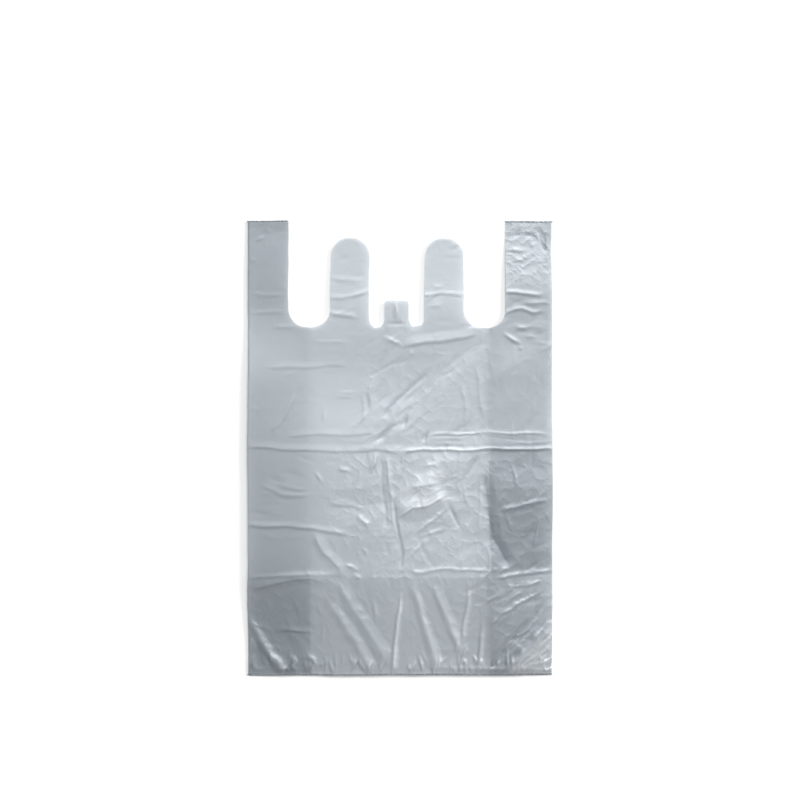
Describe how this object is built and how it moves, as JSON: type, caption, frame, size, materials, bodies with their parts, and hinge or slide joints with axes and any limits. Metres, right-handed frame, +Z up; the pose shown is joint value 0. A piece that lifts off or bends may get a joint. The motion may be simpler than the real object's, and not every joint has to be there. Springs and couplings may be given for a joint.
{
  "type": "plastic carrier bag",
  "caption": "Flat vest-style film carrier bag with side gussets, welded bottom, two carrying straps, tie flaps and a hanging tab.",
  "frame": {"origin": "middle of the bag's outline, on the underside of the rear panel that it rests on", "axes": "+Z up through the front panel, +Y from the bottom weld to the straps' ends, +X to the right as seen from above with the straps away from the viewer"},
  "size_m": [0.302, 0.45, 0.0105],
  "materials": {
    "silver_film": "thin silver-grey polyethylene film, satin, slightly see-through, with packing folds and crinkles"
  },
  "bodies": {
    "root": {"film_bag": "silver_film"}
  },
  "joints": []
}
